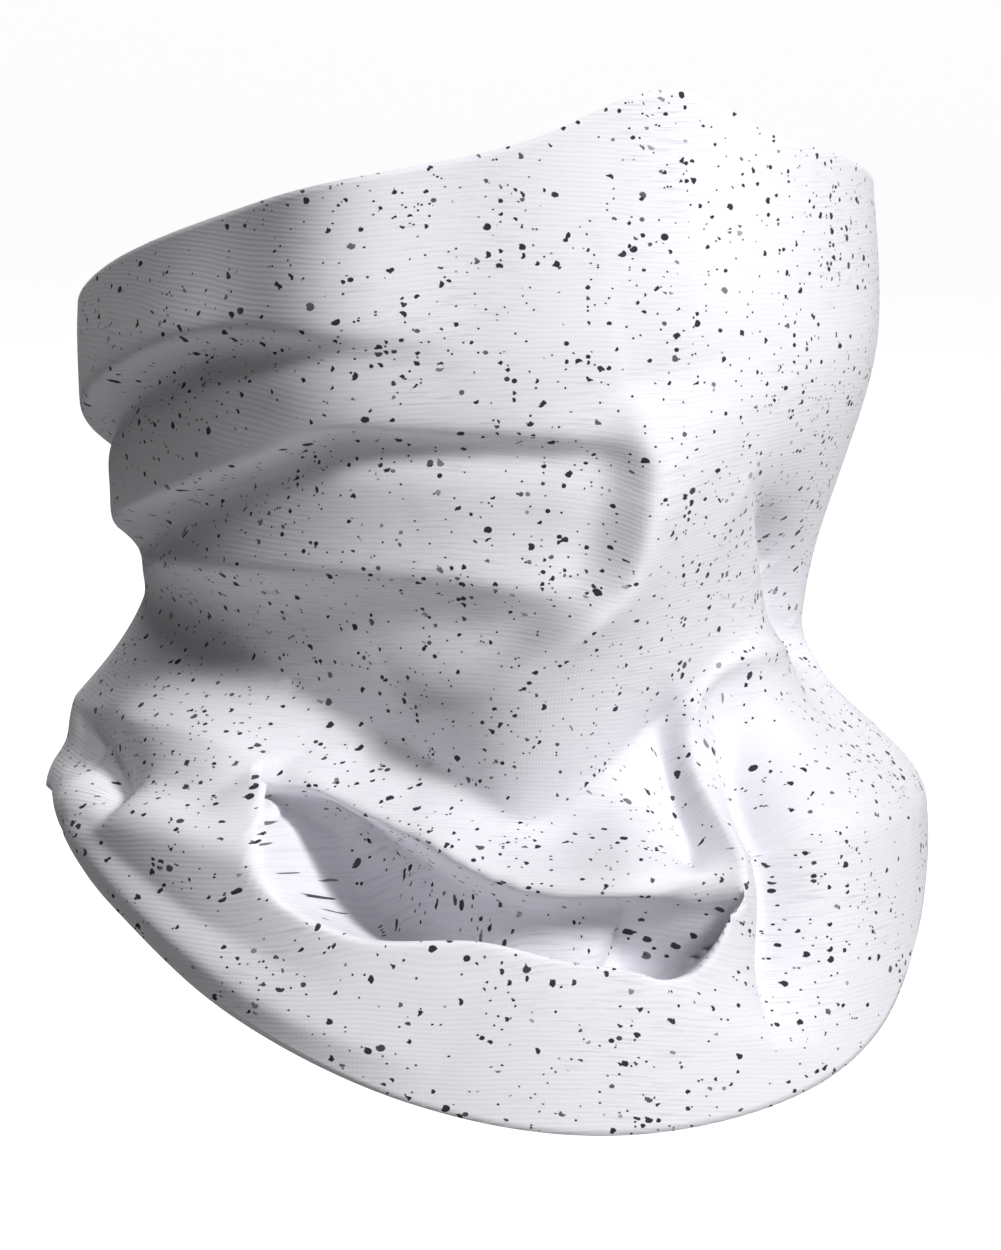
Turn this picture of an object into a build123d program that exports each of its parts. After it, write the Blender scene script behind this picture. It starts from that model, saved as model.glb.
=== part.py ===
"""Neck gaiter, worn: a knitted tube pulled up over the nose, gathered at the neck and draped
over the collar, closed by one flat seam up the back.

Millimetres, +Z up. The face looks along -Y. The origin is the middle of the neck opening, at
the narrowest level of the tube. The tube is one length of cloth in life; here it is three
zones, because the upper one swings down off the nose about the nape, the lower one stays on
the collar, and the middle one gathers between them.
"""
import os
from math import ceil, radians, tan
from build123d import *

# ---------------------------------------------------------------- driving dimensions
wall = 1.6  # cloth with the loft of its small wrinkles

# The tube's outer section: narrowest at the neck, widest over the cheeks and on the collar
cheek_level = 63.0
neck_level = 0.0
collar_level = -42.0

head_half_width = 84.0
head_front = 104.0
head_back = 98.0
brow_fill = 0.97  # share of the head's section that is left at the top
neck_half_width = 72.5
neck_front = 84.0
neck_back = 82.0
cowl_half_width = 98.5
cowl_front = 96.0
cowl_back = 94.0
cowl_forward = 9.0
hem_fill = 0.95  # share of the cowl's section that is left at the hem
section_gap = 14.0  # at most this far apart, the loft's sections
loft_spare = 3.0  # how far the loft runs past the upper edge and the hem, which are cut from it

# The upper edge, seen from the side: over the bridge of the nose, down past the ears, round the back
edge_nose = 113.0
edge_cheek = 104.0
edge_nape = 51.0
edge_cheek_depth = 95.0  # how far in front of the middle the nose's peak starts

# The hem, seen from the chest's own side: low on the chest, high on the shoulders
hem_front = -106.0
hem_side = -43.0
hem_back = -62.0
chest_turn = 16.0  # degrees between where the chest and the face look

# The swing of the face cover about the nape, and the gather that takes it up
swing = 25.0  # degrees
nape_height = 34.0
nape_setback = 5.0  # of the swing's axis behind the head
face_rise = 3.4  # degrees that the face cover's lower bound climbs towards the front
gather_margin = 2.5  # degrees left between the collar and the swung face cover
gather_least = 6.0  # height of the gather at the nape
zone_gap = 0.4  # between the face cover and the gather, which move apart

# The seam up the back
seam_width = 6.0
seam_proud = 0.7

# ---------------------------------------------------------------- worked out
face_top = edge_nose + loft_spare
hem_bottom = hem_front - loft_spare
reach = 1.6 * max(cowl_half_width, head_front, head_back)  # past every wall of the tube
axis_y = head_back + nape_setback
collar_fall = swing - face_rise + gather_margin


def face_bound(y):
    """Height of the face cover's lower bound at depth y: a plane through the swing's axis."""
    return nape_height + (axis_y - y) * tan(radians(face_rise))


def collar_bound(y):
    """Height of the cowl's upper bound at depth y: a plane that falls towards the chest."""
    return nape_height - gather_least - (axis_y - y) * tan(radians(collar_fall))


# level, half width, front half depth, back half depth, forward shift
turning_levels = [
    (hem_bottom, hem_fill * cowl_half_width, hem_fill * cowl_front, hem_fill * cowl_back, cowl_forward),
    (collar_level, cowl_half_width, cowl_front, cowl_back, cowl_forward),
    (neck_level, neck_half_width, neck_front, neck_back, 0.0),
    (cheek_level, head_half_width, head_front, head_back, 0.0),
    (face_top, brow_fill * head_half_width, brow_fill * head_front, brow_fill * head_back, 0.0),
]


def section_at(level):
    """The tube's section at a level, easing from one turning level to the next."""
    for low, high in zip(turning_levels, turning_levels[1:]):
        if level <= high[0]:
            break
    share = (level - low[0]) / (high[0] - low[0])
    eased = share * share * (3 - 2 * share)
    return [a + (b - a) * eased for a, b in zip(low[1:], high[1:])]


section_count = ceil((face_top - hem_bottom) / section_gap) + 1
section_step = (face_top - hem_bottom) / (section_count - 1)


def tube(outset, mode=Mode.ADD):
    """Loft the tube's sections, each moved outwards by outset, into the part being built."""
    sections = []
    for number in range(section_count):
        level = hem_bottom + number * section_step
        half_width, front, back, forward = section_at(level)
        middle = (0, -forward)
        with BuildSketch(Plane.XY.offset(level)) as outline:
            with BuildLine():
                EllipticalCenterArc(middle, half_width + outset, back + outset, 0, arc_size=180)
                EllipticalCenterArc(middle, half_width + outset, front + outset, 180, arc_size=180)
            make_face()
        sections.append(outline.sketch)
    loft(sections, mode=mode)


def cut_face_zone():
    """Keep what lies between the face cover's lower bound and the upper edge."""
    with BuildSketch(Plane.YZ) as side:
        with BuildLine():
            Polyline(
                (-brow_fill * head_front, edge_nose),
                (-edge_cheek_depth, edge_cheek),
                (head_back, edge_nape),
                (reach, edge_nape),
                (reach, face_bound(reach)),
                (-reach, face_bound(-reach)),
                (-reach, edge_nose),
                close=True,
            )
        make_face()
    extrude(side.sketch, amount=reach, both=True, mode=Mode.INTERSECT)


def cut_gather_zone():
    """Keep the wedge between the cowl and the face cover."""
    with BuildSketch(Plane.YZ) as side:
        with BuildLine():
            Polyline(
                (-reach, collar_bound(-reach)),
                (axis_y, collar_bound(axis_y)),
                (axis_y, face_bound(axis_y) - zone_gap),
                (-reach, face_bound(-reach) - zone_gap),
                close=True,
            )
        make_face()
    extrude(side.sketch, amount=reach, both=True, mode=Mode.INTERSECT)


def cut_cowl_zone():
    """Keep what lies under the cowl's upper bound and over the hem's arch."""
    with BuildSketch(Plane.YZ) as side:
        with BuildLine():
            Polyline(
                (-reach, collar_bound(-reach)),
                (axis_y, collar_bound(axis_y)),
                (axis_y, -reach),
                (-reach, -reach),
                close=True,
            )
        make_face()
    extrude(side.sketch, amount=reach, both=True, mode=Mode.INTERSECT)
    chest_side = Plane.YZ.rotated((0, 0, -chest_turn))
    with BuildSketch(chest_side) as below_hem:
        with BuildLine():
            front_y = -cowl_forward - hem_fill * cowl_front
            back_y = cowl_back - cowl_forward
            ThreePointArc((front_y, hem_front), (0, hem_side), (back_y, hem_back))
            Polyline(
                (back_y, hem_back),
                (reach, hem_back),
                (reach, -reach),
                (-reach, -reach),
                (-reach, hem_front),
                (front_y, hem_front),
            )
        make_face()
    extrude(below_hem.sketch, amount=reach, both=True, mode=Mode.SUBTRACT)


def keep_seam_strip():
    """Keep the narrow strip at the middle of the back."""
    with BuildSketch(Plane.XY.offset(-reach)) as strip:
        with Locations((0, reach / 2)):
            Rectangle(seam_width, reach)
    extrude(strip.sketch, amount=2 * reach, mode=Mode.INTERSECT)


# ---------------------------------------------------------------- the cloth
with BuildPart() as face_cover:
    tube(0)
    tube(-wall, Mode.SUBTRACT)
    cut_face_zone()

with BuildPart() as neck_gather:
    tube(0)
    tube(-wall, Mode.SUBTRACT)
    cut_gather_zone()

with BuildPart() as cowl_drape:
    tube(0)
    tube(-wall, Mode.SUBTRACT)
    cut_cowl_zone()

# ---------------------------------------------------------------- the seam thread
with BuildPart() as face_seam:
    tube(seam_proud)
    tube(0, Mode.SUBTRACT)
    keep_seam_strip()
    cut_face_zone()

with BuildPart() as neck_seam:
    tube(seam_proud)
    tube(0, Mode.SUBTRACT)
    keep_seam_strip()
    cut_gather_zone()

with BuildPart() as cowl_seam:
    tube(seam_proud)
    tube(0, Mode.SUBTRACT)
    keep_seam_strip()
    cut_cowl_zone()

face_cover.part.label = "face_cover"
neck_gather.part.label = "neck_gather"
cowl_drape.part.label = "cowl_drape"
face_seam.part.label = "face_seam"
neck_seam.part.label = "neck_seam"
cowl_seam.part.label = "cowl_seam"

os.makedirs("parts", exist_ok=True)
export_step(face_cover.part, "parts/face_cover.step")
export_step(neck_gather.part, "parts/neck_gather.step")
export_step(cowl_drape.part, "parts/cowl_drape.step")
export_step(face_seam.part, "parts/face_seam.step")
export_step(neck_seam.part, "parts/neck_seam.step")
export_step(cowl_seam.part, "parts/cowl_seam.step")
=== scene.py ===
"""Neck gaiter as worn: a printed, stretch-knit tube over the nose, gathered at the neck and draped
on the collar, with one flat seam up the back. Laid out as an add-on, run as a script."""

from collections import namedtuple

import bpy
import numpy as np
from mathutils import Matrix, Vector


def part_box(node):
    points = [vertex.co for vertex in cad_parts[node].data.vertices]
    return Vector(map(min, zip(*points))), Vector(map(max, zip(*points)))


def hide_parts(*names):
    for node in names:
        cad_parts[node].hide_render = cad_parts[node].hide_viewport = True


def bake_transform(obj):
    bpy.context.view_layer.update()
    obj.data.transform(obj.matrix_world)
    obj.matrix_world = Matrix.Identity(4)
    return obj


bl_info = {
    "name": "Neck gaiter",
    "version": (1, 0, 0),
    "blender": (4, 5, 0),
    "location": "3D View > Sidebar > Gaiter",
    "description": "Builds a worn neck gaiter around its packed CAD frame",
    "category": "Add Mesh",
}

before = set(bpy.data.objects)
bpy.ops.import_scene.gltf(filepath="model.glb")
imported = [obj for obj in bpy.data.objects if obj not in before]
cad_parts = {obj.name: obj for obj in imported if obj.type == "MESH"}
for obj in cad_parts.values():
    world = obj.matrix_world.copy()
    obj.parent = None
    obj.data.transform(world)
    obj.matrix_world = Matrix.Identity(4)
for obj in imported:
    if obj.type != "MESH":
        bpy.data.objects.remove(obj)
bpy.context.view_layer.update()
MM = 0.001  # shapes are worked out in millimetres and put in the mesh in metres
FACE_LOW, FACE_HIGH = (np.array(corner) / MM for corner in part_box("face_cover"))
COWL_LOW, COWL_HIGH = (np.array(corner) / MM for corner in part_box("cowl_drape"))

GIRTH_RADIUS = 85.0  # mm, turns angle into a length round the tube
SMALL_STEP = 1e-3  # of a surface's parameters, where its slopes are measured


# ------------------------------------------------------------------ sizes and colours
class GaiterSizes(bpy.types.PropertyGroup):
    """What a user would change about the gaiter's shape and its camera."""

    neck_half_width: bpy.props.FloatProperty(
        name="Neck half width", description="Half the tube's width at the neck",
        default=0.0725, unit="LENGTH")
    neck_half_depth: bpy.props.FloatProperty(
        name="Neck half depth", description="Half the tube's depth at the neck",
        default=0.083, unit="LENGTH")
    cloth_thickness: bpy.props.FloatProperty(
        name="Cloth thickness", description="Thickness of the knit",
        default=0.0008, unit="LENGTH")
    fold_depth: bpy.props.FloatProperty(
        name="Fold depth", description="How strongly the folds stand out, 1 as worn",
        default=1.0, subtype="FACTOR")
    flat_width: bpy.props.FloatProperty(
        name="Flat girth", description="Girth of the tube as cut, once round",
        default=0.50, unit="LENGTH")
    flat_length: bpy.props.FloatProperty(
        name="Flat length", description="Length of the tube as cut",
        default=0.25, unit="LENGTH")
    seam_width: bpy.props.FloatProperty(
        name="Seam width", description="Width of the flat seam's looper threads",
        default=0.005, unit="LENGTH")
    thread_radius: bpy.props.FloatProperty(
        name="Thread radius", description="Radius of the seam's thread",
        default=0.00022, unit="LENGTH")
    camera_distance: bpy.props.FloatProperty(
        name="Camera distance", description="From the camera to the middle of the neck",
        default=1.7, unit="LENGTH")


class GaiterColours(bpy.types.PropertyGroup):
    """The cloth's and the stage's colours."""

    ground: bpy.props.FloatVectorProperty(
        name="Ground", description="Unprinted knit", subtype="COLOR", size=4,
        default=(0.83, 0.825, 0.87, 1.0))
    heather: bpy.props.FloatVectorProperty(
        name="Heather", description="Darker fibres in the knit", subtype="COLOR", size=4,
        default=(0.42, 0.42, 0.47, 1.0))
    speck: bpy.props.FloatVectorProperty(
        name="Speck", description="Printed specks", subtype="COLOR", size=4,
        default=(0.028, 0.027, 0.04, 1.0))
    thread: bpy.props.FloatVectorProperty(
        name="Thread", description="Seam thread", subtype="COLOR", size=4,
        default=(0.78, 0.78, 0.83, 1.0))
    floor: bpy.props.FloatVectorProperty(
        name="Floor", description="Studio floor and sweep", subtype="COLOR", size=4,
        default=(0.3, 0.3, 0.3, 1.0))


# ------------------------------------------------------------------ curves
def eased(share):
    """A share from 0 to 1 with no slope at either end: 3 of its squares less 2 of its cubes."""
    share = np.clip(share, 0, 1)
    return share * share * (3 - 2 * share)


def bell(value, middle, width):
    """A bell curve: 1 at the middle, and falling with the square of the distance over the width."""
    return np.exp(-(((value - middle) / width) ** 2))


def unit(vectors):
    """The same directions with a length of one."""
    return vectors / np.linalg.norm(vectors, axis=-1, keepdims=True)


def smooth_path(points, count=90):
    """Points evenly spread along a Catmull-Rom curve through the given ones, with every column."""
    points = np.array(points, float)
    ends = np.vstack([2 * points[0] - points[1], points, 2 * points[-1] - points[-2]])
    at = np.linspace(0, len(points) - 1 - 1e-9, count)
    k = at.astype(int)
    t = (at - k)[:, None]
    a, b, c, d = ends[k], ends[k + 1], ends[k + 2], ends[k + 3]
    return 0.5 * (2 * b + (c - a) * t + (2 * a - 5 * b + 4 * c - d) * t**2
                  + (3 * b - a - 3 * c + d) * t**3)


def round_curve(angle, knots, column=1, count=200):
    """The value at each angle of a smooth curve through knots, whose first column is in degrees."""
    curve = smooth_path(knots, count)
    return np.interp(np.degrees(angle), curve[:, 0], curve[:, column])


def outward(surface, angle, up):
    """Unit normals of a surface of two parameters: the slope round crossed with the slope up."""
    round_ = surface(angle + SMALL_STEP, up) - surface(angle - SMALL_STEP, up)
    upward = surface(angle, up + SMALL_STEP) - surface(angle, up - SMALL_STEP)
    return unit(np.cross(round_, upward))


# ------------------------------------------------------------------ the tube's own shape
COLLAR_LEVEL, NECK_LEVEL, CHEEK_LEVEL = -42.0, 0.0, 63.0  # mm, where the tube is wide, narrow, wide
HANG_ENDS = 75.0  # mm under the neck, below which the hanging neck line changes nothing
SPARE = 3.0  # mm that the sections run past the hem and the upper edge
HEM_FLARE, BROW_FILL = 1.02, 0.97  # the tube's size at the hem and at the top, of its widest
NECK_SOFTNESS = 16.0  # mm, roundness of the turn from the neck to the face
HANG_SHARE = 0.4  # of the stretch from the hanging neck line in what is above it

# The neck's narrowest line round the tube: degrees, and mm that it hangs below the neck's level
NECK_LINE = [(-180, 0), (-140, 0), (-113, -2), (-98, 1), (-80, 7), (-58, 18.5), (-35, 33), (-22, 41),
             (-12.5, 39.5), (0, 28), (17, 17), (31, 12), (44.5, 9), (70, 3), (110, 0), (180, 0)]

# The hem round the tube: degrees, and mm above its lowest point
HEM = [(-220, 52), (-180, 46), (-140, 56), (-105, 66), (-80, 46), (-58, 24), (-35, 7), (-12, 0),
       (12, 4), (32, 16), (48, 37), (62, 56), (85, 65), (115, 63), (150, 52), (180, 46), (220, 56)]

# The upper edge, in mm: the nape under the top of the face cover's box, the rise from there to the
# front, and the nose's peak on it, with the peak's angle and reach in degrees
NAPE_DROP, FRONT_RISE, NOSE_PEAK, NOSE_ANGLE, NOSE_REACH = 62.0, 53.0, 10.0, -4.0, 15.0

# Swells of the face, at the left cheekbone, the right one and the nose: mm out, degrees, reach
FACE_SWELLS = [(7, -50, 12), (1.5, 50, 14), (1.5, 0, 12)]
FACE_SWELL_START, FACE_SWELL_RISE = 30.0, 45.0  # mm, where they begin and how soon they are full

# Hollows of the neck: mm in, degrees, reach round, height, reach up
HOLLOWS = [(3.5, 64, 26, -22, 15), (1, -112, 38, 34, 26)]


def turning_levels():
    """Height, half width, front and back half depth and forward shift where the tube turns."""
    sizes = bpy.context.scene.gaiter_sizes
    neck_x, neck_y = sizes.neck_half_width / MM, sizes.neck_half_depth / MM
    head = np.array([FACE_HIGH[0], -FACE_LOW[1], FACE_HIGH[1] + 1])
    middle = (COWL_LOW[1] + COWL_HIGH[1]) / 2
    depth = (COWL_HIGH[1] - COWL_LOW[1]) / 2
    cowl = np.array([COWL_HIGH[0], depth, depth])
    return np.array([
        (COWL_LOW[2] - SPARE, *(HEM_FLARE * cowl), -middle),
        (COLLAR_LEVEL, *cowl, -middle),
        (NECK_LEVEL, neck_x, neck_y, neck_y, 0.0),
        (CHEEK_LEVEL, *head, 0.0),
        (FACE_HIGH[2] + SPARE, *(BROW_FILL * head), 0.0),
    ])


def section(height):
    """Half width, front and back half depth and forward shift at each height, eased between levels."""
    levels = turning_levels()
    height = np.clip(height, levels[0, 0], levels[-1, 0])
    at = np.clip(np.searchsorted(levels[:, 0], height, side="right") - 1, 0, len(levels) - 2)
    low, high = levels[at], levels[at + 1]
    share = eased((height - low[..., 0]) / (high[..., 0] - low[..., 0]))
    return tuple(low[..., k] + (high[..., k] - low[..., k]) * share for k in (1, 2, 3, 4))


def bare_tube(angle, height):
    """The tube without folds. A place takes the section of a level: its height, stretched so that
    the neck's section falls on the hanging neck line and the cheeks and the chest keep theirs. The
    section is two half ellipses joined at the sides, in front and behind, plus the swells of the
    face and less the hollows of the neck. Angle 0 is the front."""
    degrees = np.degrees(angle)
    hang = round_curve(angle, NECK_LINE)
    stretched = CHEEK_LEVEL * (height + hang) / (CHEEK_LEVEL + hang)
    rounded = (height + np.hypot(height, NECK_SOFTNESS)) / 2
    above = HANG_SHARE * stretched + (1 - HANG_SHARE) * rounded
    below = HANG_ENDS * (height + hang) / (HANG_ENDS - hang)
    level = np.where(height > -hang, above, below)
    level = np.where((height > CHEEK_LEVEL) | (height < -HANG_ENDS), height, level)
    half_width, front, back, forward = section(level)
    high_up = eased((height - FACE_SWELL_START) / FACE_SWELL_RISE)
    swell = 0.0
    for amount, middle, reach in FACE_SWELLS:
        swell = swell + amount * bell(degrees, middle, reach) * high_up
    for amount, middle, reach, middle_height, rise in HOLLOWS:
        swell = swell - amount * bell(degrees, middle, reach) * bell(height, middle_height, rise)
    depth = np.where(np.cos(angle) > 0, front, back)
    x = (half_width + swell) * np.sin(angle)
    y = -forward - (depth + swell) * np.cos(angle)
    return np.stack([x, y, height], -1)


def upper_edge(angle):
    """Height of the upper edge: a slanted cut, as the cosine of the angle, and the nose's peak."""
    slant = FACE_HIGH[2] - NAPE_DROP + FRONT_RISE * (1 + np.cos(angle)) / 2
    return slant + NOSE_PEAK * bell(np.degrees(angle), NOSE_ANGLE, NOSE_REACH)


def hem_edge(angle):
    """Height of the hem: a smooth closed curve, low on the chest, high over the shoulders."""
    return COWL_LOW[2] + round_curve(angle, HEM)


# ------------------------------------------------------------------ folds
# path: points of degrees, height in mm and strength, from left to right or downwards. crest: how
# far the fold stands out, or a valley's depth where it is negative. above, below: its reach to the
# left and to the right of the way the path runs, so above is upwards on a path to the right.
# trough: depth of the valley under it, gap: from crest to valley, spread: the valley's reach,
# hang: how far the crest sags over it.
Fold = namedtuple("Fold", "path crest above below trough gap spread hang", defaults=(0, 0, 5, 0))

FOLDS = {
    "temple": Fold([(-258, 41, 0), (-235, 37, 0.7), (-205, 35, 1), (-180, 34, 1), (-150, 33, 0.8),
                    (-125, 36, 0.4), (-111, 43, 0.8), (-98, 50, 1), (-85, 57, 1.1), (-73, 62.5, 1),
                    (-60, 64, 0.6), (-45, 63, 0.3), (-32, 61, 0)], 5, 11, 2.8, 4.5, 5.5, 4.5, 2),
    "jaw": Fold([(-258, 25, 0), (-235, 21, 0.8), (-205, 18, 1), (-180, 17, 1), (-150, 15, 0.8),
                 (-122, 14, 0.3), (-111, 18, 0.6), (-98, 23, 1.1), (-79, 30.5, 1.2), (-62, 39, 1.1),
                 (-51, 45, 0.9), (-35, 44, 0.6), (-13, 42.5, 0.4), (-6, 44, 0)],
                5.5, 11, 3, 5.5, 6.5, 5.5, 2),
    "cheek": Fold([(-118, 10, 0), (-108, 10, 0.5), (-80, 11, 1), (-59, 12.5, 1), (-42, 13, 1),
                   (-29, 12, 1), (-18, 10, 0.7), (-11, 7, 0)], 5.5, 10, 9, 2, 12, 8, 0),
    "chin": Fold([(-9, 52, 0), (-8, 45, 0.4), (-6.5, 33, 0.9), (-8.5, 15, 1.1), (-14.5, 2, 1.1),
                  (-25, -11.5, 0.7), (-42, -21, 0)], 14, 17, 10, 2, 7, 6, 0.5),
    "throat": Fold([(-255, -4, 0.3), (-235, -4, 0.8), (-205, -4, 1), (-180, -3, 1.1),
                    (-150, 0, 0.8), (-113, 3, 0.35), (-98, 0, 0.7), (-80, -6, 1), (-58, -18, 0.5),
                    (-35, -33, 0.2), (-22, -41, 0)], -6.5, 11, 9),
    "collar": Fold([(-255, -20, 0.3), (-235, -22, 0.8), (-205, -24, 1), (-180, -24, 1.1),
                    (-150, -22, 0.9), (-120, -22, 0.5), (-98, -22, 0.5), (-75, -25, 0.7),
                    (-60, -32, 0.5), (-50, -38, 0)], 4, 8, 5, 4, 9, 5, 1.5),
    "roll": Fold([(-104, -34, 0), (-94, -42, 0.7), (-84, -51, 1), (-72, -62, 1), (-60, -73, 1),
                  (-48, -83, 0.8), (-32, -92, 0)], 5, 16, 9),
    "shoulder back": Fold([(-250, -36, 0), (-225, -41, 0.8), (-180, -44, 1.2), (-140, -40, 0.7),
                           (-115, -34, 0)], 3.5, 7, 5, 2, 9, 6, 1.5),
    "shoulder pinch": Fold([(-112, -23, 0), (-102, -26, 0.8), (-92, -30, 1), (-85, -37, 1),
                            (-82, -45, 0)], -8, 6, 5),
    "shoulder sag": Fold([(-92, -40, 0), (-84, -46, 0.7), (-75, -53, 1), (-65, -61, 1),
                          (-55, -68, 0.8), (-44, -76, 0)], -1.5, 5, 7),
    "jaw right": Fold([(12, 30, 0), (22.5, 22, 0.5), (35, 12, 1), (45, 3, 1.1), (53, -6, 0.8),
                       (62, -13, 0)], -12, 7, 13),
    "cheek right": Fold([(8, 34, 0), (17, 24, 0.6), (28, 12, 1), (40, 3, 1), (52, -2, 0.4), (66, -4, 0)],
                        2.5, 2.5, 10),
    "shoulder right": Fold([(44.5, -11, 0), (31, -10.5, 0.5), (17, -15.5, 1), (0, -27, 1),
                            (-12.5, -39.5, 0.6), (-20, -48, 0)], -4.5, 7, 13),
    "hook": Fold([(70, -14, 0), (56, -14, 0.3), (40, -10.5, 0.8), (30, -9.5, 1),
                  (20, -12, 1), (13, -19, 1), (10, -30, 1), (10.5, -41, 1.1), (10.5, -51, 1.2),
                  (7.5, -59, 1.2), (3, -66, 1), (-2, -72, 0)], 5, 6, 3.5, hang=1.5),
    "apex valley": Fold([(11, -19, 0), (7, -27, 0.8), (5, -36, 1), (4, -45, 0.9), (3, -53, 0)],
                        -10, 5, 7),
    "side valley": Fold([(28, -18, 0), (20, -26, 0.8), (15.5, -38, 1), (16, -50, 1), (16.5, -63, 1),
                         (15, -76, 0.8), (12, -89, 0)], -14, 6, 8),
}
CREST_ROUND = 0.14  # roundness of a crest's top, of its reach
SAG_REACH = 0.7  # how far a sagging crest's slide reaches, of its reach above

# The bag that hangs from the chin and tucks in behind the cowl. LIP: degrees, height of the bag's
# lip and how far it stands back. RIM: degrees and height along the cowl's rim, and how far the bag
# tucks in behind it.
LIP = [(-90, -22, 0), (-72, -26, 2), (-62, -29.5, 6), (-55.5, -33.5, 9), (-46, -38.5, 11),
       (-34.5, -45, 11), (-24, -53, 11), (-17.5, -55.5, 10), (-9, -55, 7), (0, -54.5, 7), (4, -53.5, 6),
       (8, -51, 4), (20, -44, 1), (35, -38, 0)]
RIM = [(-62, -31, 0), (-60, -36, 8), (-58.5, -43, 20), (-57, -51, 26), (-54, -58, 27), (-48, -63.5, 26),
       (-40, -67, 23), (-27.5, -67, 16), (-17.5, -71, 12), (-9, -73.5, 15), (-4, -76, 22),
       (1, -74.5, 22), (5, -68, 13), (8, -60, 3), (9.5, -54, 0)]
RIM_FULL = 6.0  # mm of tuck at which the rim is a whole edge
RIM_WIDTH = 0.35  # mm, how sharply cloth outside the rim changes to cloth inside it
BACK_ABOVE, BACK_BELOW = 24.0, 9.0  # mm, how far the set-back reaches over the lip and under it
TUCK_REACH = 2.5  # mm under the lip in which the tuck deepens
LIP_ROLL, LIP_ROLL_HEIGHT, LIP_SAG, LIP_REACH = 0.8, 2.0, 2.0, 4.0  # mm out, over the lip, down, reach
RIM_PULL_OUTSIDE, RIM_PULL_INSIDE, RIM_REACH = 4.0, 9.0, 6.0  # mm that cloth slides to the rim, reach
EDGE_SHARE = 0.05  # share of the cloth's length in which slides fade out at the hem and upper edge


def beside_path(angle, height, path):
    """For each place: its signed distance from the path, left of the way it runs being positive,
    the path's further values there, and the leftward direction. Places are compared with every
    step of the path at once, in mm round the tube and mm up, and the path is tried a turn to
    either side as well."""
    curve = smooth_path(path)
    line = np.stack([np.radians(curve[:, 0]) * GIRTH_RADIUS, curve[:, 1]], -1)
    step = line[1:] - line[:-1]
    length = np.maximum(np.hypot(step[:, 0], step[:, 1]), 1e-9)
    best = np.full(angle.shape, np.inf)
    signed = np.zeros(angle.shape)
    value = np.zeros(angle.shape + (curve.shape[1] - 2,))
    left = np.zeros(angle.shape + (2,))
    turn = 2 * np.pi * GIRTH_RADIUS
    for shift in (-turn, 0, turn):
        around = angle * GIRTH_RADIUS + shift
        for k in range(len(step)):
            ax, az = around - line[k, 0], height - line[k, 1]
            t = np.clip((ax * step[k, 0] + az * step[k, 1]) / length[k] ** 2, 0, 1)
            dx, dz = ax - t * step[k, 0], az - t * step[k, 1]
            away = np.hypot(dx, dz)
            nearer = away < best
            side = np.sign(step[k, 0] * az - step[k, 1] * ax)
            best = np.where(nearer, away, best)
            signed = np.where(nearer, away * np.where(side == 0, 1, side), signed)
            own = curve[k, 2:] + t[..., None] * (curve[k + 1, 2:] - curve[k, 2:])
            value = np.where(nearer[..., None], own, value)
            here = np.array([-step[k, 1], step[k, 0]]) / length[k]
            left = np.where(nearer[..., None], here, left)
    return signed, value, left


def fold_shift(angle, height):
    """How far every place moves out, slides round and up, and is set back, with how much it hangs
    inside the rim and the lip's height. A fold's crest falls off on either side with a rounded
    exponential, its trough and its sag with bell curves. Inside the rim the cloth is set back by
    the lip's own amount and, under the lip, by the rim's tuck as well."""
    out = np.zeros(angle.shape)
    slide = np.zeros(angle.shape + (2,))
    for fold in FOLDS.values():
        away, strength, left = beside_path(angle, height, fold.path)
        strength = strength[..., 0]
        reach = np.where(away > 0, fold.above, fold.below)
        out += fold.crest * strength * np.exp(CREST_ROUND - np.hypot(away / reach, CREST_ROUND))
        out -= fold.trough * strength * bell(away, -fold.gap, fold.spread)
        sag = fold.hang * strength * bell(away, 0, SAG_REACH * fold.above)
        slide -= sag[..., None] * left
    lip, back = (round_curve(angle, LIP, column, 300) for column in (1, 2))
    away, tuck, left = beside_path(angle, height, RIM)
    tuck = np.maximum(tuck[..., 0], 0)
    cut = eased(tuck / RIM_FULL)
    inside = 1 / (1 + np.exp(np.clip(-away / RIM_WIDTH, -40, 40)))
    hung = cut * inside
    over = np.maximum(height - lip, 0)
    under = np.maximum(lip - height, 0)
    behind = back * bell(over, 0, BACK_ABOVE) * (hung + (1 - cut) * bell(under, 0, BACK_BELOW))
    behind += tuck * inside * (1 - np.exp(-under / TUCK_REACH))
    out += LIP_ROLL * hung * bell(height - lip, LIP_ROLL_HEIGHT, LIP_REACH)
    slide[..., 1] -= LIP_SAG * hung * bell(height - lip, 0, LIP_REACH)
    pull = (RIM_PULL_OUTSIDE * (1 - inside) - RIM_PULL_INSIDE * inside) * bell(away, 0, RIM_REACH)
    slide += (cut * pull)[..., None] * left
    depth = bpy.context.scene.gaiter_sizes.fold_depth
    return depth * out, depth * slide, depth * behind, hung, lip


def gaiter_surface(angle, share):
    """The worn cloth: angle is 0 in front and half a turn at the back seam, share runs from the hem
    to the upper edge. A place is taken on the bare tube, slid along it by its folds and pushed out
    along its normal. Where the bag tucks in behind the rim, it falls plumb from its lip and is set
    back level."""
    low, high = hem_edge(angle), upper_edge(angle)
    height = low + (high - low) * share
    out, slide, behind, hung, lip = fold_shift(angle, height)
    near_edge = eased(np.minimum(share, 1 - share) / EDGE_SHARE)
    angle = angle + near_edge * slide[..., 0] / GIRTH_RADIUS
    height = height + near_edge * slide[..., 1]
    place = bare_tube(angle, height)
    plumb = bare_tube(angle, np.maximum(height, lip))
    place[..., :2] += hung[..., None] * (plumb - place)[..., :2]
    normal = outward(bare_tube, angle, height)
    return place + out[..., None] * normal - behind[..., None] * unit(normal * [1, 1, 0])


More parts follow.
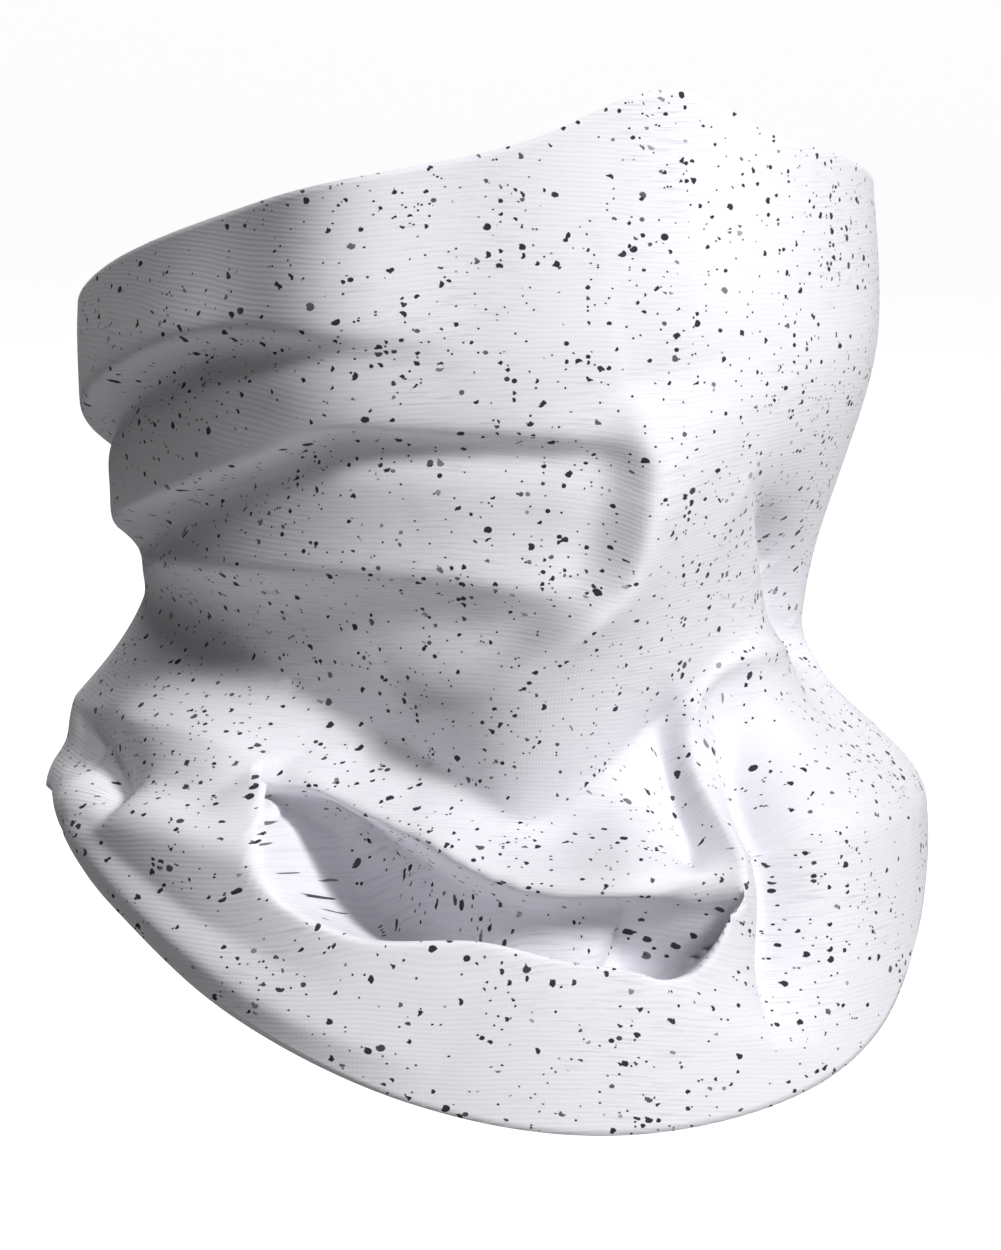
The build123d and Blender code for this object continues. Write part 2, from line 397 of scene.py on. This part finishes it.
# ------------------------------------------------------------------ meshes
ROW_STEPS = 500  # steps in which a column's density of rows is summed
RIM_CROWDING, RIM_CROWDED, LIP_CROWDING, LIP_CROWDED = 6.0, 2.0, 1.0, 4.0  # extra rows, and mm they reach
PRINT_LEVEL, PRINT_REACH = 20.0, 12.0  # mm up the tube, where the print runs level, and over what reach


def grid_faces(rows, columns, closed_round=True):
    """Row and column of each face of a grid of points, and its corners' numbers, going round it
    with the outside towards the viewer."""
    wide = columns if closed_round else columns - 1
    row, column = np.meshgrid(np.arange(rows - 1), np.arange(wide), indexing="ij")
    after = (column + 1) % columns
    corners = [row * columns + column, row * columns + after,
               (row + 1) * columns + after, (row + 1) * columns + column]
    return row, column, np.stack(corners, -1).reshape(-1, 4)


def grid_mesh(name, points, uv, closed_round=True):
    """A mesh from a grid of points in mm, rows going up and columns round, with a UV map in
    metres of cloth. Where the grid closes round, uv has one column more than points."""
    row, column, faces = grid_faces(*points.shape[:2], closed_round)
    mesh = bpy.data.meshes.new(name)
    mesh.from_pydata((points.reshape(-1, 3) * MM).tolist(), [], faces.tolist())
    corners = [uv[row, column], uv[row, column + 1], uv[row + 1, column + 1], uv[row + 1, column]]
    corners = np.stack(corners, 2).reshape(-1)
    mesh.uv_layers.new(name="cloth").data.foreach_set("uv", corners.astype(np.float32))
    mesh.shade_smooth()
    mesh.update()
    return mesh


def crowded_rows(angle, rows):
    """Share up the cloth of every row at these angles: rows stand closer together at the cowl's
    rim and at the lip over it. Each column's shares are evenly spread over its summed density.
    Columns are set apart by 2 while they are looked up, so one interpolation serves them all."""
    fine = np.linspace(0, 1, ROW_STEPS)[:, None]
    low, high = hem_edge(angle), upper_edge(angle)
    height = low + (high - low) * fine
    lip = round_curve(angle, LIP, count=300)
    rim = round_curve(angle, RIM[2:-3], count=300)  # without its steep ends
    dense = RIM_CROWDING * bell(height, rim, RIM_CROWDED) + LIP_CROWDING * bell(height, lip, LIP_CROWDED)
    summed = np.cumsum(1 + dense, axis=0)
    summed = (summed - summed[0]) / (summed[-1] - summed[0])
    apart = 2 * np.arange(len(angle))
    wanted = np.linspace(0, 1, rows + 1)[:, None] + apart
    found = np.interp(wanted.T.ravel(), (summed + apart).T.ravel(), (fine + apart).T.ravel())
    return found.reshape(len(angle), rows + 1).T - apart


def cloth_lengths(angle, share):
    """UV of a grid of cloth in metres: round the tube by angle, and up it by the length of each
    column along the bare tube, measured from the level where the print runs level."""
    points = bare_tube(angle, hem_edge(angle) + (upper_edge(angle) - hem_edge(angle)) * share)
    rise = np.linalg.norm(np.diff(points, axis=0), axis=-1)
    rise = np.concatenate([np.zeros_like(rise[:1]), np.cumsum(rise, axis=0)])
    near = bell(points[..., 2], PRINT_LEVEL, PRINT_REACH)
    rise = rise - (rise * near).sum(0) / near.sum(0)
    rise = np.concatenate([rise, rise[:, :1]], axis=1)
    round_ = np.concatenate([angle, angle[:, :1] + 2 * np.pi], axis=1) * GIRTH_RADIUS
    return np.stack([round_, rise], -1) * MM


def thread_points(angle, share, lift, radius, sides=8):
    """Rings of points round a thread that lies on the cloth at these places, lifted off it: at
    each place the ring stands square to the thread's run."""
    normal = outward(gaiter_surface, angle, share)
    centre = gaiter_surface(angle, share) + normal * np.broadcast_to(lift, share.shape)[:, None]
    ahead = unit(np.gradient(centre, axis=0))
    beside = unit(np.cross(ahead, normal))
    over = np.cross(beside, ahead)
    turn = np.linspace(0, 2 * np.pi, sides, endpoint=False)[None, :, None]
    return centre[:, None] + radius * (np.cos(turn) * beside[:, None] + np.sin(turn) * over[:, None])


def tubes_mesh(name, tubes):
    """One mesh of several closed tubes, each a grid of rings, with flat ends."""
    points, faces, start = [], [], 0
    for tube in tubes:
        rings, sides = tube.shape[:2]
        faces += (grid_faces(rings, sides)[2] + start).tolist()
        faces.append((start + np.arange(sides)[::-1]).tolist())
        faces.append((start + (rings - 1) * sides + np.arange(sides)).tolist())
        points.append(tube.reshape(-1, 3))
        start += rings * sides
    mesh = bpy.data.meshes.new(name)
    mesh.from_pydata((np.concatenate(points) * MM).tolist(), [], faces)
    mesh.shade_smooth()
    mesh.update()
    return mesh


def add_piece(name, mesh):
    """A scene object at the origin with this mesh."""
    piece = bpy.data.objects.new(name, mesh)
    bpy.context.scene.collection.objects.link(piece)
    return piece


# ------------------------------------------------------------------ materials
def node(tree, kind, **values):
    """A node of this kind, with its settings and its inputs' values by name or number."""
    made = tree.nodes.new(kind)
    for key, value in values.items():
        if hasattr(made, key):
            setattr(made, key, value)
        else:
            made.inputs[key.replace("_", " ")].default_value = value
    return made


def connect(tree, sockets, values):
    """Link or set each socket: a value is another node's output, a constant, or None to skip."""
    for socket, value in zip(sockets, values):
        if isinstance(value, bpy.types.NodeSocket):
            tree.links.new(value, socket)
        elif value is not None:
            socket.default_value = value


def maths(tree, operation, a, b=None, c=None, clamp=False):
    """A Math node on sockets or numbers; returns its output."""
    made = tree.nodes.new("ShaderNodeMath")
    made.operation = operation
    made.use_clamp = clamp
    connect(tree, made.inputs, (a, b, c))
    return made.outputs[0]


def mix_colour(tree, share, a, b):
    """A colour mix of a towards b; returns its output."""
    made = tree.nodes.new("ShaderNodeMix")
    made.data_type = "RGBA"
    connect(tree, (made.inputs[0], made.inputs[6], made.inputs[7]), (share, a, b))
    return made.outputs[2]


def darkened(colour, share):
    """A colour at a share of its brightness."""
    return tuple(share * part for part in colour[:3]) + (1.0,)


def new_material(name):
    """An empty material, its node tree and its surface shader."""
    material = bpy.data.materials.new(name)
    material.use_nodes = True
    return material, material.node_tree, material.node_tree.nodes["Principled BSDF"]


def new_group(name, inputs, outputs):
    """An empty shader group with (name, type, default) inputs and (name, type) outputs."""
    group = bpy.data.node_groups.new(name, "ShaderNodeTree")
    for title, kind, default in inputs:
        socket = group.interface.new_socket(name=title, in_out="INPUT", socket_type=kind)
        if default is not None:
            socket.default_value = default
    for title, kind in outputs:
        group.interface.new_socket(name=title, in_out="OUTPUT", socket_type=kind)
    return group, group.nodes.new("NodeGroupInput"), group.nodes.new("NodeGroupOutput")


def speckle_group():
    """Chips of print on a plane of cloth: Voronoi cells of one size, a few of them kept at
    random, their edges worn back a little. Puts out the mask and each chip's own shade."""
    group, given, out = new_group(
        "Speckle print",
        [("Vector", "NodeSocketVector", None), ("Cell", "NodeSocketFloat", 0.0016),
         ("Share", "NodeSocketFloat", 0.03), ("Wear", "NodeSocketFloat", 0.1),
         ("Clumping", "NodeSocketFloat", 0.5)],
        [("Mask", "NodeSocketFloat"), ("Shade", "NodeSocketFloat")])
    scale = maths(group, "DIVIDE", 1.0, given.outputs["Cell"])
    squat = node(group, "ShaderNodeMapping")
    squat.inputs["Scale"].default_value = (0.95, 1.1, 1.0)
    group.links.new(given.outputs["Vector"], squat.inputs["Vector"])
    cells = node(group, "ShaderNodeTexVoronoi", voronoi_dimensions="2D", feature="F1")
    edges = node(group, "ShaderNodeTexVoronoi", voronoi_dimensions="2D", feature="DISTANCE_TO_EDGE")
    clumps = node(group, "ShaderNodeTexNoise", noise_dimensions="2D", Scale=55.0, Detail=1.0)
    ragged = node(group, "ShaderNodeTexNoise", noise_dimensions="2D", Scale=1500.0, Detail=1.0)
    group.links.new(given.outputs["Vector"], clumps.inputs["Vector"])
    group.links.new(given.outputs["Vector"], ragged.inputs["Vector"])
    for texture in (cells, edges):
        texture.inputs["Randomness"].default_value = 0.85
        group.links.new(squat.outputs[0], texture.inputs["Vector"])
        group.links.new(scale, texture.inputs["Scale"])
    own = node(group, "ShaderNodeSeparateColor")
    group.links.new(cells.outputs["Color"], own.inputs[0])
    clump = maths(group, "MULTIPLY_ADD", clumps.outputs["Fac"], 4.0, -1.0)
    clump = maths(group, "MAXIMUM", clump, 0.05)
    even = maths(group, "SUBTRACT", 1.0, given.outputs["Clumping"])
    weight = maths(group, "MULTIPLY_ADD", clump, given.outputs["Clumping"], even)
    share = maths(group, "MULTIPLY", given.outputs["Share"], weight)
    kept = maths(group, "LESS_THAN", own.outputs[0], share)
    bite = maths(group, "MULTIPLY_ADD", ragged.outputs["Fac"], 0.25, given.outputs["Wear"])
    bite = maths(group, "SUBTRACT", bite, 0.12)
    worn = maths(group, "SUBTRACT", edges.outputs["Distance"], bite)
    rounded = maths(group, "SUBTRACT", 0.4, cells.outputs["Distance"])
    worn = maths(group, "MINIMUM", worn, rounded)
    worn = maths(group, "MULTIPLY", worn, 25.0, clamp=True)
    group.links.new(maths(group, "MULTIPLY", kept, worn), out.inputs["Mask"])
    group.links.new(own.outputs[1], out.inputs["Shade"])
    return group


def knit_group():
    """Fine stretch knit on a plane of cloth: courses and wales as waves for height, and heather
    fibres as long thin noise for colour."""
    group, given, out = new_group(
        "Fine knit",
        [("Vector", "NodeSocketVector", None), ("Pitch", "NodeSocketFloat", 0.001)],
        [("Height", "NodeSocketFloat"), ("Heather", "NodeSocketFloat")])
    parts = node(group, "ShaderNodeSeparateXYZ")
    group.links.new(given.outputs["Vector"], parts.inputs[0])
    wander = node(group, "ShaderNodeTexNoise", noise_dimensions="2D", Scale=18.0, Detail=2.0)
    group.links.new(given.outputs["Vector"], wander.inputs["Vector"])
    drift = maths(group, "MULTIPLY", wander.outputs["Fac"], 0.006)
    rate = maths(group, "DIVIDE", 2 * np.pi, given.outputs["Pitch"])

    def wave(along, factor):
        """A sine of the place along the cloth, drifting a little, at this many times the pitch's rate"""
        phase = maths(group, "MULTIPLY", maths(group, "ADD", along, drift), rate)
        return maths(group, "SINE", maths(group, "MULTIPLY", phase, factor))

    courses = wave(parts.outputs[1], 1.0)
    wales = wave(parts.outputs[0], 1.3)
    both = maths(group, "MULTIPLY_ADD", wales, 0.3, courses)
    group.links.new(maths(group, "MULTIPLY", both, 0.5), out.inputs["Height"])
    stretch = node(group, "ShaderNodeMapping")
    stretch.inputs["Scale"].default_value = (110.0, 2400.0, 1.0)
    group.links.new(given.outputs["Vector"], stretch.inputs["Vector"])
    fibres = node(group, "ShaderNodeTexNoise", noise_dimensions="2D", Scale=1.0, Detail=3.0,
                  Roughness=0.6)
    group.links.new(stretch.outputs[0], fibres.inputs["Vector"])
    streak = maths(group, "SUBTRACT", fibres.outputs["Fac"], 0.52)
    streak = maths(group, "MULTIPLY", streak, 5.0, clamp=True)
    patches = node(group, "ShaderNodeTexNoise", noise_dimensions="2D", Scale=28.0, Detail=2.0)
    group.links.new(given.outputs["Vector"], patches.inputs["Vector"])
    where = maths(group, "MULTIPLY_ADD", patches.outputs["Fac"], 2.2, -0.6)
    where = maths(group, "MAXIMUM", where, 0.15)
    group.links.new(maths(group, "MULTIPLY", streak, where, clamp=True), out.inputs["Heather"])
    return group


# The print's three sizes of chip: cell in metres, share of the cells kept, wear, clumping
CHIPS = [(0.0022, 0.045, 0.15, 0.6), (0.0014, 0.040, 0.10, 0.7), (0.0007, 0.025, 0.08, 0.7)]
KNIT_PITCH = 0.00105  # metres from course to course


def cloth_material(name, print_strength):
    """Printed knit: ground colour with heather fibres and three sizes of chip, knit as bump, and painted
    shade that darkens the knit's low courses towards the heather colour.
    """
    colours = bpy.context.scene.gaiter_colours
    material, tree, surface = new_material(name)
    place = node(tree, "ShaderNodeUVMap", uv_map="cloth")
    knit = node(tree, "ShaderNodeGroup", node_tree=bpy.data.node_groups["Fine knit"])
    knit.inputs["Pitch"].default_value = KNIT_PITCH
    tree.links.new(place.outputs[0], knit.inputs["Vector"])
    colour = mix_colour(tree, maths(tree, "MULTIPLY", knit.outputs["Heather"], 0.45),
                        tuple(colours.ground), tuple(colours.heather))
    # Painted shade: the colour is pulled towards the heather colour where the knit's height is low, as
    # shade in its troughs.
    knit_trough_shade = maths(tree, "MULTIPLY_ADD", knit.outputs["Height"], -0.03, 0.03)
    colour = mix_colour(tree, knit_trough_shade, colour, tuple(colours.heather))
    inked = 0.0
    for values in CHIPS:
        chips = node(tree, "ShaderNodeGroup", node_tree=bpy.data.node_groups["Speckle print"])
        names = ("Vector", "Cell", "Share", "Wear", "Clumping")
        connect(tree, [chips.inputs[name] for name in names], (place.outputs[0], *values))
        paler = maths(tree, "MULTIPLY", maths(tree, "POWER", chips.outputs["Shade"], 8.0), 0.5)
        strength = maths(tree, "SUBTRACT", 1.0, paler)
        mask = maths(tree, "MULTIPLY", chips.outputs["Mask"], strength)
        inked = maths(tree, "MAXIMUM", inked, mask)
    inked = maths(tree, "MULTIPLY", inked, print_strength)
    colour = mix_colour(tree, inked, colour, tuple(colours.speck))
    tree.links.new(colour, surface.inputs["Base Color"])
    rough = maths(tree, "MULTIPLY_ADD", knit.outputs["Heather"], -0.08, 0.86)
    tree.links.new(rough, surface.inputs["Roughness"])
    bump = node(tree, "ShaderNodeBump", Strength=0.1, Distance=0.00025)
    tree.links.new(knit.outputs["Height"], bump.inputs["Height"])
    tree.links.new(bump.outputs[0], surface.inputs["Normal"])
    surface.inputs["Sheen Weight"].default_value = 0.12
    surface.inputs["Sheen Roughness"].default_value = 0.5
    surface.inputs["Specular IOR Level"].default_value = 0.25
    return material


def thread_material():
    """Twisted polyester thread: fine slanted ridges, painted shade in the ridges' low parts and a slight
    gloss.
    """
    thread = bpy.context.scene.gaiter_colours.thread
    material, tree, surface = new_material("seam thread")
    place = node(tree, "ShaderNodeTexCoord")
    twist = node(tree, "ShaderNodeTexWave", bands_direction="DIAGONAL", Scale=900.0, Distortion=1.5,
                 Detail=1.0)
    tree.links.new(place.outputs["Object"], twist.inputs["Vector"])
    # Painted shade: the thread colour darkens to 0.72 where the twist's ridges are low, as shade between
    # them.
    colour = mix_colour(tree, twist.outputs["Fac"], darkened(thread, 0.72), tuple(thread))
    tree.links.new(colour, surface.inputs["Base Color"])
    bump = node(tree, "ShaderNodeBump", Strength=0.4, Distance=0.0001)
    tree.links.new(twist.outputs["Fac"], bump.inputs["Height"])
    tree.links.new(bump.outputs[0], surface.inputs["Normal"])
    surface.inputs["Roughness"].default_value = 0.6
    surface.inputs["Sheen Weight"].default_value = 0.1
    return material


def floor_material():
    """Pale seamless paper, faintly mottled. The camera sees it glow, and no other ray does."""
    floor = bpy.context.scene.gaiter_colours.floor
    material, tree, surface = new_material("studio paper")
    place = node(tree, "ShaderNodeTexCoord")
    mottle = node(tree, "ShaderNodeTexNoise", Scale=6.0, Detail=2.0)
    tree.links.new(place.outputs["Object"], mottle.inputs["Vector"])
    colour = mix_colour(tree, mottle.outputs["Fac"], darkened(floor, 0.985), tuple(floor))
    tree.links.new(colour, surface.inputs["Base Color"])
    surface.inputs["Roughness"].default_value = 0.9
    seen = node(tree, "ShaderNodeLightPath")
    surface.inputs["Emission Color"].default_value = (1, 1, 1, 1)
    glow = maths(tree, "MULTIPLY", seen.outputs["Is Camera Ray"], 0.9)
    tree.links.new(glow, surface.inputs["Emission Strength"])
    return material


# ------------------------------------------------------------------ operators
FRONT_CROWDING = 0.3  # how much closer together the columns stand in front

# The seam: its ends as shares up the cloth, points at which its run is measured, rings a stitch
SEAM_ENDS, SEAM_STEPS, LOOPER_RINGS, NEEDLE_RINGS = (0.004, 0.996), 1800, 16, 8
NEEDLE_SPREAD = 0.8  # how far out the needle rows lie, of the looper's half width
LOOPER_LIFT, NEEDLE_LIFT, NEEDLE_DIP = 1.9, 0.5, 1.1  # above the cloth, in thread radii

# The sweep, in metres: under the hem, the bend's radius, the wall's height, width, run before it
FLOOR_DROP, BEND_RADIUS, WALL_HEIGHT, SWEEP_WIDTH, SWEEP_RUN = 0.04, 0.5, 3.0, 6.0, 2.2
FRAME_WIDTH = 0.2224  # metres across the camera's view at the neck
AIM_RIGHT, AIM_DOWN = 0.0068, 0.0063  # metres from the middle of the neck to the middle of the view
AIR_LIGHT, AIR_SEEN = 0.01, 0.95  # strength of the studio's air on the gaiter, and more to the camera

# The soft lights: name, bearing from the camera's side and height in degrees, distance and size in
# metres, power in watts
SOFTBOXES = [("key", 38, 28, 1.7, 0.35, 28.5), ("top", -80, 79, 1.6, 0.7, 9),
             ("front fill", 22, 6, 2.4, 1.0, 1.6), ("back", 178, 30, 2.2, 1.0, 26)]


def heading(bearing, height):
    """The direction from the gaiter at this bearing, 0 in front, and height, both in radians."""
    return Vector((np.sin(bearing) * np.cos(height), -np.cos(bearing) * np.cos(height), np.sin(height)))


def add_softbox(name, bearing, height, away, size, power):
    """A square area light that faces the gaiter from this bearing and height, in radians."""
    light = bpy.data.lights.new(name, "AREA")
    light.energy = power
    light.size = size
    lamp = bpy.data.objects.new(name, light)
    towards = heading(bearing, height)
    lamp.location = towards * away
    lamp.rotation_euler = towards.to_track_quat("Z", "Y").to_euler()
    bpy.context.scene.collection.objects.link(lamp)


class GAITER_OT_cloth(bpy.types.Operator):
    """The printed knit tube, with its folds, as one closed cloth"""

    bl_idname = "gaiter.cloth"
    bl_label = "Gaiter cloth"

    columns: bpy.props.IntProperty(name="Columns", description="Faces round the tube", default=320)
    rows: bpy.props.IntProperty(name="Rows", description="Faces from hem to upper edge", default=148)

    def execute(self, context):
        sizes = context.scene.gaiter_sizes
        even = -np.pi + 2 * np.pi * np.arange(self.columns) / self.columns
        angle = even - FRONT_CROWDING * np.sin(even)
        share = crowded_rows(angle, self.rows)
        angle = np.broadcast_to(angle, share.shape)
        points = gaiter_surface(angle, share)
        mesh = grid_mesh("gaiter_cloth", points, cloth_lengths(angle, share))
        cloth = add_piece("gaiter_cloth", mesh)
        mesh.materials.append(cloth_material("printed knit", 1.0))
        mesh.materials.append(cloth_material("knit back", 0.25))
        thickness = cloth.modifiers.new("thickness", "SOLIDIFY")
        thickness.thickness = sizes.cloth_thickness
        thickness.offset = -1
        thickness.material_offset = 1
        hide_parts("cowl_drape", "neck_gather", "face_cover")
        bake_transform(cloth)
        return {"FINISHED"}


class GAITER_OT_seam(bpy.types.Operator):
    """The flat seam's threads up the middle of the back: a looper zigzag between two needle rows"""

    bl_idname = "gaiter.seam"
    bl_label = "Gaiter seam"

    stitch: bpy.props.FloatProperty(name="Stitch", description="Length of a stitch",
                                    default=0.0024, unit="LENGTH")

    def execute(self, context):
        sizes = context.scene.gaiter_sizes
        share = np.linspace(*SEAM_ENDS, SEAM_STEPS)
        middle = gaiter_surface(np.full(share.shape, np.pi), share)
        run = np.concatenate([[0], np.cumsum(np.linalg.norm(np.diff(middle, axis=0), axis=-1))])
        stitches = int(run[-1] * MM / self.stitch)
        half, thread = sizes.seam_width / MM / 2, sizes.thread_radius / MM
        meshes = []
        for row in (-1, 0, 1):  # the looper thread between the two needle rows
            rings = NEEDLE_RINGS if row else LOOPER_RINGS
            phase = np.linspace(0, stitches, stitches * rings + 1)
            along = np.interp(phase / stitches * run[-1], run, share)
            if row:
                across = half * NEEDLE_SPREAD * row
                lift = thread * (NEEDLE_LIFT + NEEDLE_DIP * np.cos(2 * np.pi * phase))
            else:
                across = half * (np.abs(2 * (phase % 1) - 1) * 2 - 1)
                lift = thread * LOOPER_LIFT
            angle = np.pi + np.broadcast_to(across / GIRTH_RADIUS, along.shape)
            meshes.append(thread_points(angle, along, lift, thread))
        mesh = tubes_mesh("gaiter_seam", meshes)
        seam = add_piece("gaiter_seam", mesh)
        mesh.materials.append(thread_material())
        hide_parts("cowl_seam", "neck_seam", "face_seam")
        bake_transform(seam)
        return {"FINISHED"}


class GAITER_OT_stage(bpy.types.Operator):
    """The pale sweep, the soft lights and the camera"""

    bl_idname = "gaiter.stage"
    bl_label = "Studio stage"

    turn: bpy.props.FloatProperty(name="Turn", description="Camera's turn about the gaiter, degrees",
                                  default=-27.0)
    rise: bpy.props.FloatProperty(name="Rise", description="Camera's height angle, degrees",
                                  default=4.5)

    def execute(self, context):
        scene = context.scene
        scene.view_settings.view_transform = "Standard"
        floor_level = COWL_LOW[2] * MM - FLOOR_DROP
        turned = np.linspace(0, np.pi / 2, 25)
        depth = BEND_RADIUS * np.sin(turned)
        depth = np.concatenate([[-SWEEP_RUN], SWEEP_RUN + depth, [SWEEP_RUN + BEND_RADIUS]])
        rise = np.concatenate([[0], BEND_RADIUS * (1 - np.cos(turned)), [WALL_HEIGHT]]) + floor_level
        across = np.linspace(-SWEEP_WIDTH / 2, SWEEP_WIDTH / 2, 9)
        turn = np.radians(self.turn)
        ahead = np.array([-np.sin(turn), np.cos(turn), 0])
        sideways = np.array([np.cos(turn), np.sin(turn), 0])
        points = (depth[:, None, None] * ahead + across[None, :, None] * sideways
                  + rise[:, None, None] * np.array([0, 0, 1]))
        mesh = grid_mesh("studio_sweep", points / MM, points[..., :2], closed_round=False)
        mesh.materials.append(floor_material())
        add_piece("studio_sweep", mesh)

        back = heading(turn, np.radians(self.rise))
        right = Vector(sideways)
        up = back.cross(right)
        target = right * AIM_RIGHT - up * AIM_DOWN
        distance = scene.gaiter_sizes.camera_distance
        lens = bpy.data.cameras.new("camera")
        lens.sensor_fit = "HORIZONTAL"
        lens.lens = lens.sensor_width * distance / FRAME_WIDTH
        lens.clip_end = 20
        camera = bpy.data.objects.new("camera", lens)
        camera.location = target + back * distance
        camera.rotation_euler = back.to_track_quat("Z", "Y").to_euler()
        scene.collection.objects.link(camera)
        scene.camera = camera

        for name, bearing, height, away, size, power in SOFTBOXES:
            add_softbox(name, np.radians(bearing) + turn, np.radians(height), away, size, power)

        world = bpy.data.worlds.new("studio air")
        world.use_nodes = True
        tree = world.node_tree
        seen = node(tree, "ShaderNodeLightPath")
        strength = maths(tree, "MULTIPLY_ADD", seen.outputs["Is Camera Ray"], AIR_SEEN, AIR_LIGHT)
        tree.links.new(strength, tree.nodes["Background"].inputs["Strength"])
        tree.nodes["Background"].inputs["Color"].default_value = (1, 1, 1, 1)
        scene.world = world
        return {"FINISHED"}


class GAITER_PT_panel(bpy.types.Panel):
    """Lists the gaiter's pieces, sizes and colours in the sidebar"""

    bl_idname = "GAITER_PT_panel"
    bl_label = "Neck gaiter"
    bl_space_type = "VIEW_3D"
    bl_region_type = "UI"
    bl_category = "Gaiter"

    def draw(self, context):
        for operator in OPERATORS:
            self.layout.operator(operator.bl_idname)
        for group in (context.scene.gaiter_sizes, context.scene.gaiter_colours):
            for name in group.bl_rna.properties.keys():
                if name not in ("rna_type", "name"):
                    self.layout.prop(group, name)


OPERATORS = (GAITER_OT_cloth, GAITER_OT_seam, GAITER_OT_stage)
CLASSES = (GaiterSizes, GaiterColours, *OPERATORS, GAITER_PT_panel)


def register():
    """Register every class and hang the sizes and colours on the scene."""
    for each in CLASSES:
        bpy.utils.register_class(each)
    bpy.types.Scene.gaiter_sizes = bpy.props.PointerProperty(type=GaiterSizes)
    bpy.types.Scene.gaiter_colours = bpy.props.PointerProperty(type=GaiterColours)


def unregister():
    """Undo register."""
    del bpy.types.Scene.gaiter_sizes
    del bpy.types.Scene.gaiter_colours
    for each in reversed(CLASSES):
        bpy.utils.unregister_class(each)


def main():
    register()
    speckle_group()
    knit_group()
    bpy.ops.gaiter.stage()
    bpy.ops.gaiter.cloth()
    bpy.ops.gaiter.seam()


if __name__ == "__main__":
    main()
